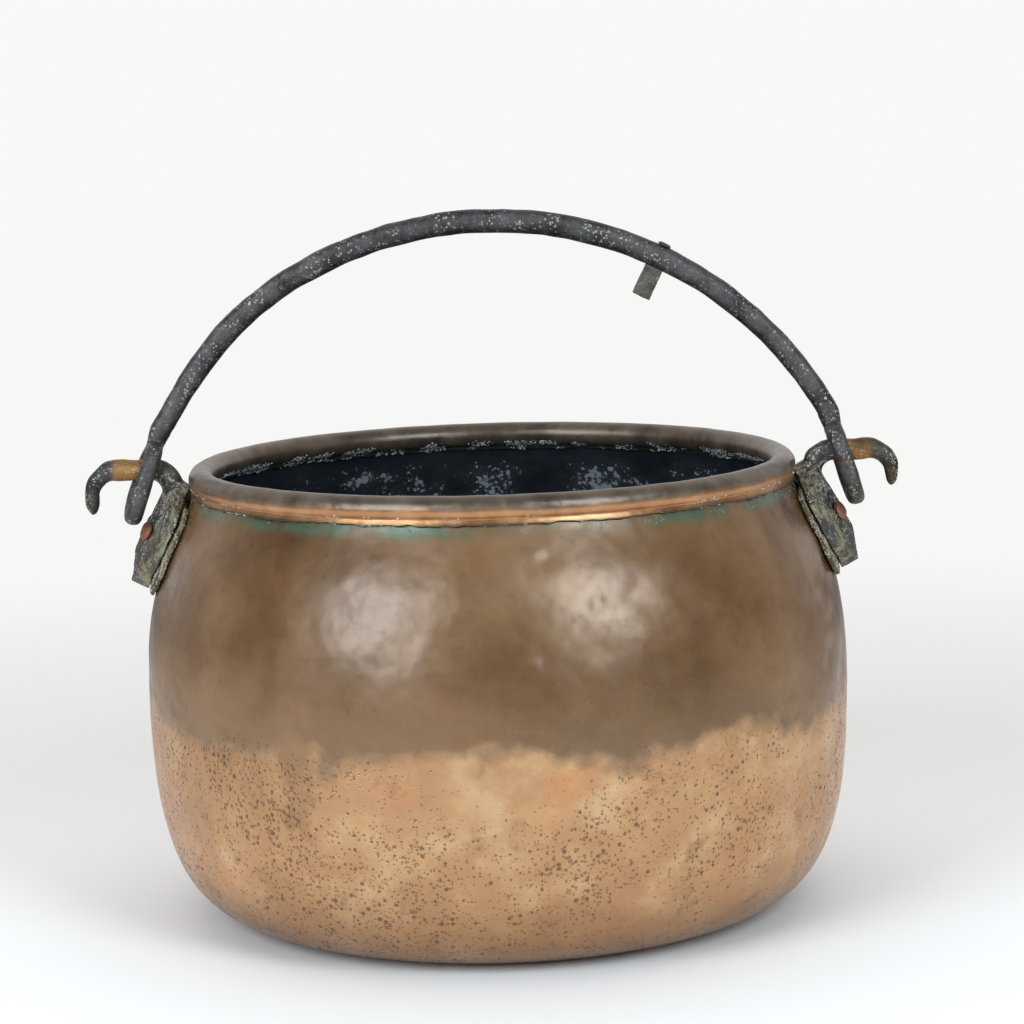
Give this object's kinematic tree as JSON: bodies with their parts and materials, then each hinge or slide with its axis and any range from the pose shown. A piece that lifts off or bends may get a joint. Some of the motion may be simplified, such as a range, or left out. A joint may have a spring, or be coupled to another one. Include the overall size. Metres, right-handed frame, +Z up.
{
  "type": "copper cauldron",
  "caption": "Round-bellied copper cauldron with a folded wire rim, riveted iron lugs with open hooks, and a swinging wrought-iron bail with long eyes.",
  "frame": {"origin": "centre of the flat underside", "axes": "+Z up; +X through the two lugs, towards the right-hand one seen from the front; -Y towards the viewer"},
  "size_m": [0.529, 0.45, 0.4471],
  "materials": {
    "copper_body": "hammered copper with a brown patina, brighter and pitted on the lower half, dark tinned inside",
    "copper_rim": "worn copper strip with a green edge",
    "rim_iron": "plain drawn iron wire",
    "packing_plate": "thin iron plate crusted with pale yellow-green scale",
    "lug_iron": "hammer-forged iron, dark with pale crust",
    "rivet_copper": "dull brown copper",
    "bail_iron": "hammer-forged iron, dark brown with pale speckle",
    "peg_iron": "dark forged iron"
  },
  "bodies": {
    "pot": {"vessel": "copper_body", "rim_wire": "rim_iron", "rim_band": "copper_rim", "left_lug_pad": "packing_plate", "right_lug_pad": "packing_plate", "left_lug": "lug_iron", "right_lug": "lug_iron", "left_front_rivet": "rivet_copper", "left_back_rivet": "rivet_copper", "right_front_rivet": "rivet_copper", "right_back_rivet": "rivet_copper"},
    "handle": {"bail": "bail_iron", "bail_peg": "peg_iron"}
  },
  "joints": [
    {"name": "bail_swing", "type": "hinge", "parent": "pot", "child": "handle", "pos_m": [0, 0, 0.2866], "axis": [1, 0, 0], "range_deg": [-82, 82]}
  ]
}
